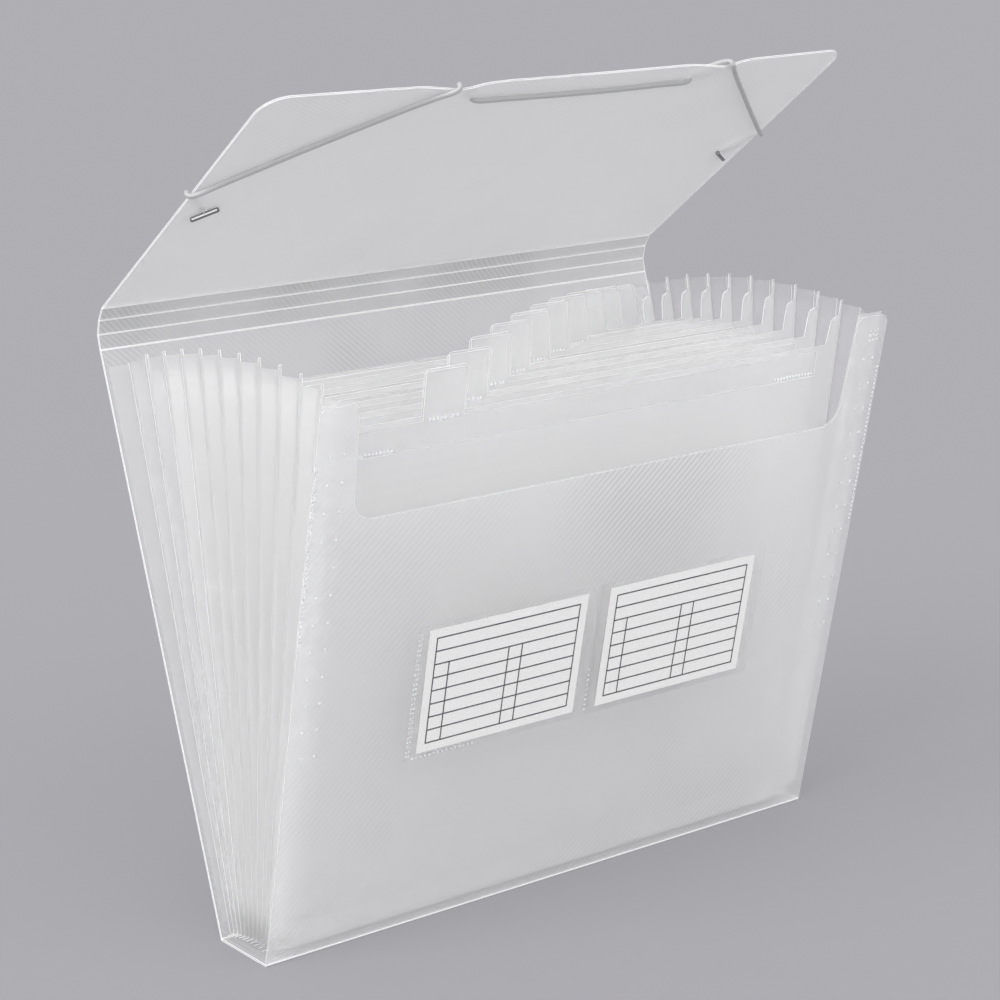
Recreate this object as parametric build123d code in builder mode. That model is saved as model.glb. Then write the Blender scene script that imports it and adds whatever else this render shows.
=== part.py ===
"""Accordion file folder, standing open with its flap raised. Millimetres, +Z up, front towards -Y.

The cover is one folded sheet: base strip, front panel, back panel, three spine strips and a flap.
Inside it a bellows of thin film makes eleven pockets: ten dividers, each with a pocket floor, and
a folded pleat on each side of every pocket.
"""
import os
from math import cos, radians, sin, sqrt

from build123d import *

os.makedirs("parts", exist_ok=True)

# Cover sheet. Leans are in degrees from upright, plus towards the back.
cover_width = 330.0
cover_thick = 0.8
base_depth = 36.4
front_height = 269.0
back_height = 275.0
front_lean = -11.5
back_lean = 18.5
spine_strip = 7.1
spine_leans = (14.0, -12.0, -29.0)
flap_lean = -53.0
flap_side_length = 176.5
flap_bow = 12.0
flap_sag = 8.4  # towards the inside, at the middle of the front edge
flap_corner = 14.0
flap_bands = 6
flap_rows = 4
fold_gap = 0.12  # from a fold's round edge to the next panel

# Front panel cut-out
ear_width = 20.0
ear_foot_width = 22.6
scoop_height = 214.5
scoop_radius = 11.0
ear_radius = 4.0

# Bellows
pocket_count = 11
divider_side_room = 13.0  # from a divider to the cover's edge
divider_thick = 0.3
floor_height = 1.0  # pocket floors above the base fold, file closed
front_room = 0.25  # between bellows and front panel, file closed
floor_bend = 0.7
divider_edge = 246.0
divider_ear = 7.6
divider_ear_neck = 5.9
divider_ear_shoulder = 13.0
divider_ear_tip = 1.3
divider_ear_rise = 22.0
divider_ear_round = 3.0
divider_round = 2.5
pleat_top_depth = 4.5
pleat_thick = 0.2
pleat_foot = 6.5
pleat_drop = 2.0  # from the ears' top to the pleats'
pleat_gap = 0.12
flange_width = 16.0
flange_inside = 5.0
flange_foot = 12.0

# Index tabs, stepping across from the front divider to the back one
tab_left_room = 46.0
tab_right_room = 2.0
tab_rise = 21.0
tab_sleeve_drop = 15.0
tab_weld_drop = 2.4
tab_sleeve_thick = 0.12
tab_sleeve_side = 13.0
tab_sleeve_inset = 1.0

# Label sleeves and cards on the front panel
sleeve_foot = 88.0
sleeve_film = 0.15
sleeve_room = 0.3
sleeve_seam = 3.0
sleeve_centre = 4.0
sleeve_space = 1.0
card_width = 91.0
card_height = 62.0
card_thick = 0.26
card_gap = 0.02
card_side_room = 3.3
card_top_room = 3.0
thumb_width = 29.0
thumb_depth = 9.0

# Elastic cord and its end bars, on the flap
cord_radius = 1.2
cord_gap = 0.12
hole_radius = 1.7
cord_sides = 8
bar_radius = 1.15
bar_length = 13.5
bar_chamfer = 0.5
bar_gap = 0.04
side_wrap_height = 101.5
front_wrap_x = 77.6
front_hole_x = 62.3
front_hole_drop = 12.3
end_hole_inset = 13.5
end_hole_height = 85.0

half_width = cover_width / 2
half_cover = cover_thick / 2
half_film = divider_thick / 2
half_depth = base_depth / 2
divider_width = cover_width - 2 * divider_side_room
half_divider = divider_width / 2
fold_start = half_cover + fold_gap
divider_height = divider_edge + divider_ear_rise
ear_shoulder = divider_edge + divider_ear_shoulder
pleat_top = divider_height - pleat_drop
tab_room = divider_width - 2 * divider_ear - tab_left_room - tab_right_room
tab_width = tab_room / (pocket_count - 1)
tab_first = divider_ear + tab_left_room - half_divider
tab_top = divider_edge + tab_rise
tab_sleeve_foot = divider_edge - tab_sleeve_drop
tab_sleeve_edge = divider_edge - tab_weld_drop
tab_sleeve_width = divider_width - 2 * tab_sleeve_side
sleeve_width = card_width + 2 * (sleeve_seam + card_side_room)
sleeve_tall = sleeve_seam + card_height + card_top_room


def up_axis(lean):
    """Direction up a leaning panel, as (y, z)."""
    return sin(radians(lean)), cos(radians(lean))


def along(point, lean, up, forward=0.0):
    """The (y, z) point at a height up a panel and a distance in front of it."""
    sy, sz = up_axis(lean)
    return point[0] + up * sy - forward * sz, point[1] + up * sz + forward * sy


def face_plane(point, lean, forward=0.0):
    """Plane of a leaning panel: local x along the width, y up the panel, z towards the front."""
    sy, sz = up_axis(lean)
    y, z = along(point, lean, 0.0, forward)
    return Plane(origin=(0, y, z), x_dir=(1, 0, 0), z_dir=(0, -sz, sy))


def side_plane(point, lean):
    """Cross-section plane of a leaning panel: local x towards the front, y up the panel."""
    sy, sz = up_axis(lean)
    return Plane(origin=(0, point[0], point[1]), x_dir=(0, -sz, sy), z_dir=(-1, 0, 0))


# Fold lines of the cover, as (y, z)
back_fold = (half_depth, half_cover)
front_fold = (-half_depth, half_cover)
spine_folds = [along(back_fold, back_lean, back_height)]
for strip_lean in spine_leans:
    spine_folds.append(along(spine_folds[-1], strip_lean, spine_strip))
flap_fold = spine_folds[-1]

# Fold lines of the bellows. Body 0 is the back flange, then the dividers, then the front flange.
back_film = half_cover + half_film
pocket_pitch = (base_depth - back_film - half_cover - half_film - front_room) / pocket_count
lean_step = (back_lean - front_lean) / pocket_count
body_leans = [back_lean - k * lean_step for k in range(pocket_count + 1)]
body_folds = [along(back_fold, back_lean, floor_height, back_film)]
for k in range(pocket_count):
    body_folds.append(along(body_folds[k], body_leans[k], 0.0, pocket_pitch))

# Cross-section of a sheet's foot, which bends forward into the pocket floor
bend_in = floor_bend + half_film * sqrt(2) - half_film
bend_out = floor_bend - half_film * sqrt(2) + half_film
foot_outline = (
    (-half_film, pleat_foot),
    (-half_film, bend_out),
    (bend_out, -half_film),
    (pocket_pitch, -half_film),
    (pocket_pitch, half_film),
    (bend_in, half_film),
    (half_film, bend_in),
    (half_film, pleat_foot),
)


# Base strip: flat on the ground, with a round edge along each fold
with BuildPart() as base_strip:
    with BuildSketch(Plane.YZ):
        with Locations((0, half_cover)):
            SlotCenterToCenter(base_depth, cover_thick)
    extrude(amount=half_width, both=True)
base_strip.part.label = "base_strip"
export_step(base_strip.part, "parts/base_strip.step")


# Back panel: full sheet with a round edge at the first spine fold
with BuildPart() as back_panel:
    with BuildSketch(side_plane(back_fold, back_lean)):
        with Locations((0, (fold_start + back_height) / 2)):
            Rectangle(cover_thick, back_height - fold_start)
        with Locations((0, back_height)):
            Circle(half_cover)
    extrude(amount=half_width, both=True)
back_panel.part.label = "back_panel"
export_step(back_panel.part, "parts/back_panel.step")


# Front panel: sheet with a wide scoop between two ears
with BuildPart() as front_panel:
    with BuildSketch(face_plane(front_fold, front_lean)) as front_outline:
        with BuildLine():
            Polyline(
                (-half_width, fold_start),
                (half_width, fold_start),
                (half_width, front_height),
                (half_width - ear_width, front_height),
                (half_width - ear_foot_width, scoop_height),
                (ear_foot_width - half_width, scoop_height),
                (ear_width - half_width, front_height),
                (-half_width, front_height),
                close=True,
            )
        make_face()
        fillet(
            [v for v in front_outline.vertices() if abs(v.Y - scoop_height) < 0.1],
            radius=scoop_radius,
        )
        fillet(
            [v for v in front_outline.vertices() if abs(v.Y - front_height) < 0.1],
            radius=ear_radius,
        )
    extrude(amount=half_cover, both=True)
front_panel.part.label = "front_panel"
export_step(front_panel.part, "parts/front_panel.step")


# Spine strips: three narrow sheets, each with a round edge at its far fold
for i, strip_lean in enumerate(spine_leans):
    with BuildPart() as spine_piece:
        with BuildSketch(side_plane(spine_folds[i], strip_lean)):
            with Locations((0, (fold_start + spine_strip) / 2)):
                Rectangle(cover_thick, spine_strip - fold_start)
            with Locations((0, spine_strip)):
                Circle(half_cover)
        extrude(amount=half_width, both=True)
    spine_piece.part.label = f"spine_strip_{i + 1}"
    export_step(spine_piece.part, f"parts/spine_strip_{i + 1}.step")


# Flap: sheet that sags between its sides, with a bowed front edge, round corners and four cord holes
flap_mid_length = flap_side_length + flap_bow
bow_radius = (half_width**2 + flap_bow**2) / (2 * flap_bow)


def flap_edge(x):
    """Height up the flap of its front edge."""
    return flap_mid_length - bow_radius + sqrt(bow_radius**2 - x**2)


def sag_at(x, up):
    """How far the flap sags towards the inside: none at its fold and sides."""
    return flap_sag * (1 - (x / half_width) ** 2) * (up - fold_start) / (flap_mid_length - fold_start)


def flap_section(up):
    """Plane across the flap: local x along the width, y towards the outside."""
    y, z = along(flap_fold, flap_lean, up)
    return Plane(origin=(0, y, z), x_dir=(1, 0, 0), z_dir=(0, *up_axis(flap_lean)))


front_hole_height = flap_edge(front_hole_x) - front_hole_drop
end_hole_x = half_width - end_hole_inset

flap_beyond = flap_mid_length + cover_thick

with BuildPart() as flap:
    for row in range(flap_rows + 1):
        up = fold_start + (flap_beyond - fold_start) * row / flap_rows
        with BuildSketch(flap_section(up)):
            with BuildLine():
                for band in range(flap_bands):
                    first = cover_width * band / flap_bands - half_width
                    last = first + cover_width / flap_bands
                    bend = sag_at(0, up) * (1 - first * last / half_width**2)
                    for side_face in (-half_cover, half_cover):
                        Bezier(
                            (first, side_face - sag_at(first, up)),
                            ((first + last) / 2, side_face - bend),
                            (last, side_face - sag_at(last, up)),
                        )
                for end in (-half_width, half_width):
                    Line((end, -half_cover), (end, half_cover))
            make_face()
    loft(ruled=True)
    with BuildSketch(face_plane(flap_fold, flap_lean)) as flap_outline:
        with BuildLine():
            Polyline(
                (-half_width, flap_side_length),
                (-half_width, fold_start),
                (half_width, fold_start),
                (half_width, flap_side_length),
            )
            ThreePointArc(
                (half_width, flap_side_length),
                (0, flap_mid_length),
                (-half_width, flap_side_length),
            )
        make_face()
        fillet(
            [v for v in flap_outline.vertices() if v.Y > flap_side_length - 0.1],
            radius=flap_corner,
        )
    extrude(amount=2 * flap_sag, both=True, mode=Mode.INTERSECT)
    for side in (-1, 1):
        with BuildSketch(face_plane(flap_fold, flap_lean)):
            with Locations(
                (side * front_hole_x, front_hole_height), (side * end_hole_x, end_hole_height)
            ):
                Circle(hole_radius)
        extrude(amount=2 * flap_sag, both=True, mode=Mode.SUBTRACT)
flap.part.label = "flap"
export_step(flap.part, "parts/flap.step")


# Back flange: film welded to the back panel, with the first pocket's floor
with BuildPart() as back_flange:
    with BuildSketch(side_plane(body_folds[0], body_leans[0])):
        with BuildLine():
            Polyline(*foot_outline, close=True)
        make_face()
    extrude(amount=half_divider, both=True)
    with BuildSketch(face_plane(body_folds[0], body_leans[0])):
        with Locations((0, (bend_in + flange_foot) / 2)):
            Rectangle(divider_width, flange_foot - bend_in)
        flange_x = half_divider - flange_inside + flange_width / 2
        with Locations(
            (-flange_x, (pleat_foot + pleat_top) / 2), (flange_x, (pleat_foot + pleat_top) / 2)
        ):
            Rectangle(flange_width, pleat_top - pleat_foot)
    extrude(amount=half_film, both=True)
back_flange.part.label = "back_flange"
export_step(back_flange.part, "parts/back_flange.step")


# Dividers: ears at both sides, one index tab each, a floor bent forward to the next sheet
for k in range(1, pocket_count):
    tab_left = tab_first + (pocket_count - 1 - k) * tab_width
    with BuildPart() as divider:
        with BuildSketch(face_plane(body_folds[k], body_leans[k])) as divider_outline:
            with Locations((0, (bend_in + divider_edge) / 2)):
                Rectangle(divider_width, divider_edge - bend_in)
            for side in (-1, 1):
                with BuildLine():
                    Polyline(
                        (side * half_divider, divider_edge),
                        (side * (half_divider - divider_ear), divider_edge),
                        (side * (half_divider - divider_ear_neck), ear_shoulder),
                        (side * (half_divider - divider_ear_tip), ear_shoulder + divider_ear_tip),
                        (side * (half_divider - divider_ear_tip), divider_height),
                        (side * half_divider, divider_height),
                        close=True,
                    )
                make_face()
            with Locations((tab_left + tab_width / 2, (divider_edge + tab_top) / 2)):
                Rectangle(tab_width, tab_top - divider_edge)
            fillet(
                [v for v in divider_outline.vertices() if abs(v.Y - tab_top) < 0.1],
                radius=divider_round,
            )
            fillet(
                [v for v in divider_outline.vertices() if abs(v.Y - ear_shoulder) < 0.1],
                radius=divider_ear_round,
            )
        extrude(amount=half_film, both=True)
        with BuildSketch(side_plane(body_folds[k], body_leans[k])):
            with BuildLine():
                Polyline(*foot_outline, close=True)
            make_face()
        extrude(amount=half_divider, both=True)
    divider.part.label = f"divider_{k:02d}"
    export_step(divider.part, f"parts/divider_{k:02d}.step")

    # Index sleeve: film on the divider's front, a strip across and a pocket up the tab
    with BuildPart() as index_sleeve:
        with BuildSketch(face_plane(body_folds[k], body_leans[k], half_film)):
            with Locations((0, (tab_sleeve_foot + tab_sleeve_edge) / 2)):
                Rectangle(tab_sleeve_width, tab_sleeve_edge - tab_sleeve_foot)
            sleeve_high = tab_top - tab_sleeve_inset
            with Locations((tab_left + tab_width / 2, (tab_sleeve_foot + sleeve_high) / 2)):
                Rectangle(tab_width - 2 * tab_sleeve_inset, sleeve_high - tab_sleeve_foot)
        extrude(amount=tab_sleeve_thick)
    index_sleeve.part.label = f"index_sleeve_{k:02d}"
    export_step(index_sleeve.part, f"parts/index_sleeve_{k:02d}.step")


# Front flange: film at the front end of the bellows, behind the front panel
with BuildPart() as front_flange:
    with BuildSketch(face_plane(body_folds[-1], body_leans[-1])):
        with Locations((0, (bend_in + flange_foot) / 2)):
            Rectangle(divider_width, flange_foot - bend_in)
        with Locations(
            (-flange_x, (pleat_foot + pleat_top) / 2), (flange_x, (pleat_foot + pleat_top) / 2)
        ):
            Rectangle(flange_width, pleat_top - pleat_foot)
    extrude(amount=half_film, both=True)
front_flange.part.label = "front_flange"
export_step(front_flange.part, "parts/front_flange.step")


# Pleats: film of one width folded outwards between two sheets, deep at the foot and shallow at the top.
# As the sheets fan out each leg twists, so it is two flat triangles with a slight bend between them.
def pleat_ends(k, height):
    """Points on a pleat's rear and front edge at a height up the sheets, on the middle plane."""
    rear_off = half_film + pleat_gap if k == 0 else pleat_gap
    front_off = half_film + pleat_gap if k == pocket_count - 1 else pleat_gap
    rear = along(body_folds[k], body_leans[k], height, rear_off)
    front = along(body_folds[k + 1], body_leans[k + 1], height, -front_off)
    return Vector(0, *rear), Vector(0, *front)


for k in range(pocket_count):
    foot_rear, foot_front = pleat_ends(k, pleat_foot)
    top_rear, top_front = pleat_ends(k, pleat_top)
    pleat_leg = sqrt(pleat_top_depth**2 + ((top_front - top_rear).length / 2) ** 2)
    foot_depth = sqrt(pleat_leg**2 - ((foot_front - foot_rear).length / 2) ** 2)
    for side, side_name in ((-1, "left"), (1, "right")):
        root = Vector(side * (half_divider + pleat_gap), 0, 0)
        foot_fold = (foot_rear + foot_front) / 2 + root + Vector(side * foot_depth, 0, 0)
        top_fold = (top_rear + top_front) / 2 + root + Vector(side * pleat_top_depth, 0, 0)
        with BuildPart() as pleat:
            for foot_edge, top_edge in ((foot_rear, top_rear), (foot_front, top_front)):
                lower = (foot_edge + root, foot_fold, top_edge + root)
                upper = (foot_fold, top_fold, top_edge + root)
                for first, second, third in (lower, upper):
                    facet = Plane(
                        origin=first,
                        x_dir=second - first,
                        z_dir=(second - first).cross(third - first),
                    )
                    with BuildSketch(facet):
                        with BuildLine():
                            Polyline(
                                (0, 0),
                                facet.to_local_coords(second),
                                facet.to_local_coords(third),
                                close=True,
                            )
                        make_face()
                    extrude(amount=pleat_thick / 2, both=True)
        pleat.part.label = f"pleat_{side_name}_{k + 1:02d}"
        export_step(pleat.part, f"parts/pleat_{side_name}_{k + 1:02d}.step")


# Label sleeves: clear film on the front panel, seamed on three sides, with a thumb notch and a card
for side, side_name in ((-1, "left"), (1, "right")):
    sleeve_x = sleeve_centre + side * (sleeve_width + sleeve_space) / 2
    sleeve_top = sleeve_foot + sleeve_tall
    sleeve_middle = sleeve_foot + sleeve_tall / 2
    with BuildPart() as label_sleeve:
        with BuildSketch(face_plane(front_fold, front_lean, half_cover)):
            with Locations((sleeve_x, sleeve_middle)):
                Rectangle(sleeve_width, sleeve_tall)
            with Locations((sleeve_x, sleeve_middle + sleeve_seam / 2)):
                Rectangle(
                    sleeve_width - 2 * sleeve_seam, sleeve_tall - sleeve_seam, mode=Mode.SUBTRACT
                )
        extrude(amount=sleeve_room)
        with BuildSketch(face_plane(front_fold, front_lean, half_cover + sleeve_room)):
            with Locations((sleeve_x, sleeve_middle)):
                Rectangle(sleeve_width, sleeve_tall)
            with Locations((sleeve_x, sleeve_top)):
                Ellipse(thumb_width / 2, thumb_depth, mode=Mode.SUBTRACT)
        extrude(amount=sleeve_film)
    label_sleeve.part.label = f"label_sleeve_{side_name}"
    export_step(label_sleeve.part, f"parts/label_sleeve_{side_name}.step")

    with BuildPart() as label_card:
        with BuildSketch(face_plane(front_fold, front_lean, half_cover + card_gap)):
            card_middle = sleeve_foot + sleeve_seam + card_gap + card_height / 2
            with Locations((sleeve_x, card_middle)):
                Rectangle(card_width, card_height)
        extrude(amount=card_thick)
    label_card.part.label = f"label_card_{side_name}"
    export_step(label_card.part, f"parts/label_card_{side_name}.step")


# Elastic cord: from an end bar through the flap, round its side edge, slantwise to the front edge,
# over it, back through a hole and straight across, then the same on the other side
def on_flap(x, up, forward):
    """World point at a place on the flap, by its distance in front of the sagging sheet."""
    y, z = along(flap_fold, flap_lean, up, forward + sag_at(min(max(x, -half_width), half_width), up))
    return Vector(x, y, z)


lay = half_cover + cord_radius + cord_gap
cord_bend = cord_radius + 0.75 * half_cover
half_path = [
    (end_hole_x, end_hole_height, half_cover),
    (end_hole_x, end_hole_height, -lay),
    (half_width + cord_bend, side_wrap_height, -lay),
    (half_width + cord_bend, side_wrap_height, lay),
    (front_wrap_x, flap_edge(front_wrap_x) + cord_bend, lay),
    (front_wrap_x, flap_edge(front_wrap_x) + cord_bend, -lay),
    (front_hole_x, front_hole_height, -lay),
    (front_hole_x, front_hole_height, lay),
    (front_hole_x / 2, front_hole_height, lay),
]
cord_points = [on_flap(-x, up, forward) for x, up, forward in half_path]
cord_points.append(on_flap(0, front_hole_height, lay))
cord_points += [on_flap(x, up, forward) for x, up, forward in reversed(half_path)]
with BuildPart() as elastic_cord:
    with BuildLine() as cord_route:
        FilletPolyline(*cord_points, radius=cord_bend)
    with BuildSketch(Plane(origin=cord_points[0], z_dir=cord_points[1] - cord_points[0])) as cord_section:
        RegularPolygon(cord_radius, cord_sides)
    sweep()
elastic_cord.part.label = "elastic_cord"
export_step(elastic_cord.part, "parts/elastic_cord.step")
cord_length = cord_route.wires()[0].length
cord_share = elastic_cord.part.volume / (cord_section.sketch.area * cord_length)
print(f"elastic cord {cord_length:.1f} mm long, bends of {cord_bend:.2f} mm, volume share {cord_share:.4f}")


# End bars: short round bars across the cord's ends, on the inside of the flap
bar_run = Vector(half_width - end_hole_x, side_wrap_height - end_hole_height, 0).normalized()
for side, side_name in ((-1, "left"), (1, "right")):
    bar_lay = half_cover + bar_radius + bar_gap
    across = side * bar_length / 2 * bar_run.Y
    rise = bar_length / 2 * bar_run.X
    low = on_flap(side * end_hole_x + across, end_hole_height - rise, bar_lay)
    high = on_flap(side * end_hole_x - across, end_hole_height + rise, bar_lay)
    with BuildPart() as end_bar:
        with BuildSketch(Plane(origin=low, z_dir=high - low)):
            Circle(bar_radius)
        extrude(amount=bar_length)
        chamfer(end_bar.edges().filter_by(GeomType.CIRCLE), length=bar_chamfer)
    end_bar.part.label = f"end_bar_{side_name}"
    export_step(end_bar.part, f"parts/end_bar_{side_name}.step")
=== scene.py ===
# %% [markdown]
# # Accordion file folder
# An expanding file of frosted plastic stands open with its flap raised. The imported model gives the
# frame: flat cover sheets, dividers and sleeves are kept and get a finish here. What bends or frays
# on the real thing is built here: the sagging flap, the folded pleats, the elastic cord, the ruled
# cards, the bright cut edges, which are beads with a painted glow, and the rows of weld dots, also
# with a faint painted glow.

# %% Load the frame
from math import copysign, cos, exp, radians, sin

import bmesh
import bpy
from mathutils import Matrix, Vector


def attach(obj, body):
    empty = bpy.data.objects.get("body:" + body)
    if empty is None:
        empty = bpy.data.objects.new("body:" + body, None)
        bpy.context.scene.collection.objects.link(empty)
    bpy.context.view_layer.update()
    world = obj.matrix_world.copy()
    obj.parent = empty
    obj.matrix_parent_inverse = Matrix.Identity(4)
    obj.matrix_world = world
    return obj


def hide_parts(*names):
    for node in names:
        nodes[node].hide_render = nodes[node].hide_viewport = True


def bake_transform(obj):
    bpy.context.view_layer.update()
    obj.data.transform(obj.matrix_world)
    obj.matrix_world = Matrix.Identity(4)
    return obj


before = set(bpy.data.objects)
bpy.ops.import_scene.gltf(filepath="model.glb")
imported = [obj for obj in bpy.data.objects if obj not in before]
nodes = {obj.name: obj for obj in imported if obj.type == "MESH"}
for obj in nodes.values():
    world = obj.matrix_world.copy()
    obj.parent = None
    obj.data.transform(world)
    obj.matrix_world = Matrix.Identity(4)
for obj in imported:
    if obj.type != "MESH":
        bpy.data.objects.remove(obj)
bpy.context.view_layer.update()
scene = bpy.context.scene
scene.view_settings.view_transform = "Standard"

# %% [markdown]
# ## Sheet coordinates
# Every sheet leans about a fold line along X. A point on one is easiest to give as x, the height up
# the sheet and the distance in front of it, so one helper turns these into a place in metres.

# %% Fold lines and leans
MM = 0.001
HALF_WIDTH = 165.0
BASE_DEPTH = 36.4
COVER_HALF = 0.4  # half the cover sheet's thickness
FILM_HALF = 0.15  # half a divider's thickness
FRONT_FOLD, FRONT_LEAN = (-BASE_DEPTH / 2, COVER_HALF), -11.5
BACK_FOLD, BACK_LEAN = (BASE_DEPTH / 2, COVER_HALF), 18.5
BACK_HEIGHT = 275.0
SPINE_STRIP, SPINE_LEANS = 7.1, (14.0, -12.0, -29.0)
FLAP_LEAN = -53.0
POCKETS = 11
FLOOR_HEIGHT = 1.0  # of the pocket floors over the base fold
FRONT_ROOM = 0.25  # between the bellows and the front panel, file closed


def on_sheet(fold, lean, x, up, forward=0.0):
    """Place in metres of a point on a sheet that leans about a fold line."""
    y_up, z_up = sin(radians(lean)), cos(radians(lean))
    y = fold[0] + up * y_up - forward * z_up
    z = fold[1] + up * z_up + forward * y_up
    return Vector((x, y, z)) * MM


def fold_at(fold, lean, up, forward=0.0):
    """The (y, z) of a fold line further along a sheet."""
    place = on_sheet(fold, lean, 0.0, up, forward) / MM
    return place.y, place.z


spine_folds = [fold_at(BACK_FOLD, BACK_LEAN, BACK_HEIGHT)]
for lean in SPINE_LEANS:
    spine_folds.append(fold_at(spine_folds[-1], lean, SPINE_STRIP))
FLAP_FOLD = spine_folds[-1]

LEAN_STEP = (BACK_LEAN - FRONT_LEAN) / POCKETS
PITCH = (BASE_DEPTH - 2 * COVER_HALF - 2 * FILM_HALF - FRONT_ROOM) / POCKETS
sheet_leans = [BACK_LEAN - k * LEAN_STEP for k in range(POCKETS + 1)]
sheet_folds = [fold_at(BACK_FOLD, BACK_LEAN, FLOOR_HEIGHT, COVER_HALF + FILM_HALF)]
for k in range(POCKETS):
    sheet_folds.append(fold_at(sheet_folds[k], sheet_leans[k], 0.0, PITCH))
print("flap fold", [round(v, 2) for v in FLAP_FOLD], "pocket pitch", round(PITCH, 3))
print("last sheet's fold", [round(v, 2) for v in sheet_folds[-1]])

# %% [markdown]
# ## Camera
# The photograph was taken from the front left, a little above the folder. Place, turn and lens were
# worked out from the folder's corners, so the camera is set from three directions and a point.

# %% Camera
CAMERA_PLACE = Vector((-761.77, -953.71, 501.94)) * MM
view_right = Vector((0.78667, -0.61734, -0.00668))
view_up = Vector((0.16048, 0.19403, 0.96778))
view_back = Vector((-0.59615, -0.76240, 0.25170))
lens = bpy.data.cameras.new("photo_camera")
lens.sensor_width = 36.0
lens.lens = 96.30
camera = bpy.data.objects.new("photo_camera", lens)
turn = Matrix((view_right, view_up, view_back)).transposed()
camera.matrix_world = Matrix.Translation(CAMERA_PLACE) @ turn.to_4x4()
scene.collection.objects.link(camera)
scene.camera = camera
print("camera at", [round(v, 3) for v in camera.location])

# %% [markdown]
# ## Floor and light
# A studio sweep is a wide pale sheet under soft light from all round, with the main lamp on the
# left. One broad floor fills the picture, and suns with a wide angle stand for the soft boxes,
# because they light the floor evenly as far as the camera sees. Part of the floor's grey, and all
# of the sky's, is given to the rays that come straight from the camera or by way of a gloss. So the
# backdrop is even, while the object still gets white light and the floor keeps its shadow.

# %% Floor
FLOOR_REACH, FLOOR_LEVEL = 30.0, -0.0004  # metres; a hair below the base strip's bright edge
FLOOR_GREY = (0.400, 0.395, 0.421, 1.0)
EVEN_GREY = (0.345, 0.341, 0.366, 1.0)  # the floor's own share of light
EVEN_SHARE = 0.45
floor_corners = [(-1, -1), (1, -1), (1, 1), (-1, 1)]
floor_mesh = bpy.data.meshes.new("floor")
floor_mesh.from_pydata(
    [(x * FLOOR_REACH, y * FLOOR_REACH, FLOOR_LEVEL) for x, y in floor_corners], [], [(0, 1, 2, 3)]
)
floor = bpy.data.objects.new("floor", floor_mesh)
scene.collection.objects.link(floor)
floor_paper = bpy.data.materials.new("floor_paper")
floor_paper.use_nodes = True
floor_tree = floor_paper.node_tree
floor_shader = floor_tree.nodes["Principled BSDF"]
floor_shader.inputs["Base Color"].default_value = FLOOR_GREY
floor_shader.inputs["Roughness"].default_value = 1.0
floor_shader.inputs["Specular IOR Level"].default_value = 0.0


def seen_share(tree, amount):
    """A socket that gives rays from the camera, a gloss or a clear sheet this amount, others 0."""
    ray = tree.nodes.new("ShaderNodeLightPath")
    seen = ray.outputs["Is Camera Ray"]
    for kind in ("Is Glossy Ray", "Is Transmission Ray"):
        either = tree.nodes.new("ShaderNodeMath")
        either.operation = "MAXIMUM"
        tree.links.new(seen, either.inputs[0])
        tree.links.new(ray.outputs[kind], either.inputs[1])
        seen = either.outputs["Value"]
    share = tree.nodes.new("ShaderNodeMath")
    share.operation = "MULTIPLY"
    share.inputs[1].default_value = amount
    tree.links.new(seen, share.inputs[0])
    return share.outputs["Value"]


even = floor_tree.nodes.new("ShaderNodeEmission")
even.inputs["Color"].default_value = EVEN_GREY
blend = floor_tree.nodes.new("ShaderNodeMixShader")
floor_tree.links.new(seen_share(floor_tree, EVEN_SHARE), blend.inputs["Fac"])
floor_tree.links.new(floor_shader.outputs["BSDF"], blend.inputs[1])
floor_tree.links.new(even.outputs["Emission"], blend.inputs[2])
floor_tree.links.new(blend.outputs["Shader"], floor_tree.nodes["Material Output"].inputs["Surface"])
floor_mesh.materials.append(floor_paper)
print("floor reaches", FLOOR_REACH, "m each way")


# %% Lamps and world
SKY_LIGHT = 0.83
BACKDROP_GREY = (0.434, 0.429, 0.460, 1.0)


def add_sun(name, azimuth, elevation, strength, spread):
    """A soft sun; azimuth counts from the front, plus to the right."""
    lamp = bpy.data.lights.new(name, "SUN")
    lamp.energy = strength
    lamp.angle = radians(spread)
    sun = bpy.data.objects.new(name, lamp)
    a, e = radians(azimuth), radians(elevation)
    towards = Vector((sin(a) * cos(e), -cos(a) * cos(e), sin(e)))
    sun.rotation_euler = towards.to_track_quat("Z", "Y").to_euler()
    scene.collection.objects.link(sun)
    return sun


add_sun("key_left", -86.0, 32.0, 1.85, 50.0)
add_sun("fill_front", 10.0, 30.0, 0.70, 70.0)
world = bpy.data.worlds.new("studio")
world.use_nodes = True
sky_tree = world.node_tree
sky_light = sky_tree.nodes["Background"]
sky_light.inputs["Color"].default_value = (1.0, 1.0, 1.0, 1.0)
sky_light.inputs["Strength"].default_value = SKY_LIGHT
sky_seen = sky_tree.nodes.new("ShaderNodeBackground")
sky_seen.inputs["Color"].default_value = BACKDROP_GREY
sky = sky_tree.nodes.new("ShaderNodeMixShader")
sky_tree.links.new(seen_share(sky_tree, 1.0), sky.inputs["Fac"])
sky_tree.links.new(sky_light.outputs["Background"], sky.inputs[1])
sky_tree.links.new(sky_seen.outputs["Background"], sky.inputs[2])
sky_tree.links.new(sky.outputs["Shader"], sky_tree.nodes["World Output"].inputs["Surface"])
scene.world = world
scene.cycles.transparent_max_bounces = 64  # a line of sight crosses up to 60 film surfaces
scene.cycles.diffuse_bounces = 12  # light reaches the feet of the pleats in many small steps
scene.cycles.use_light_tree = False  # two suns need none, and the render is quicker
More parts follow.
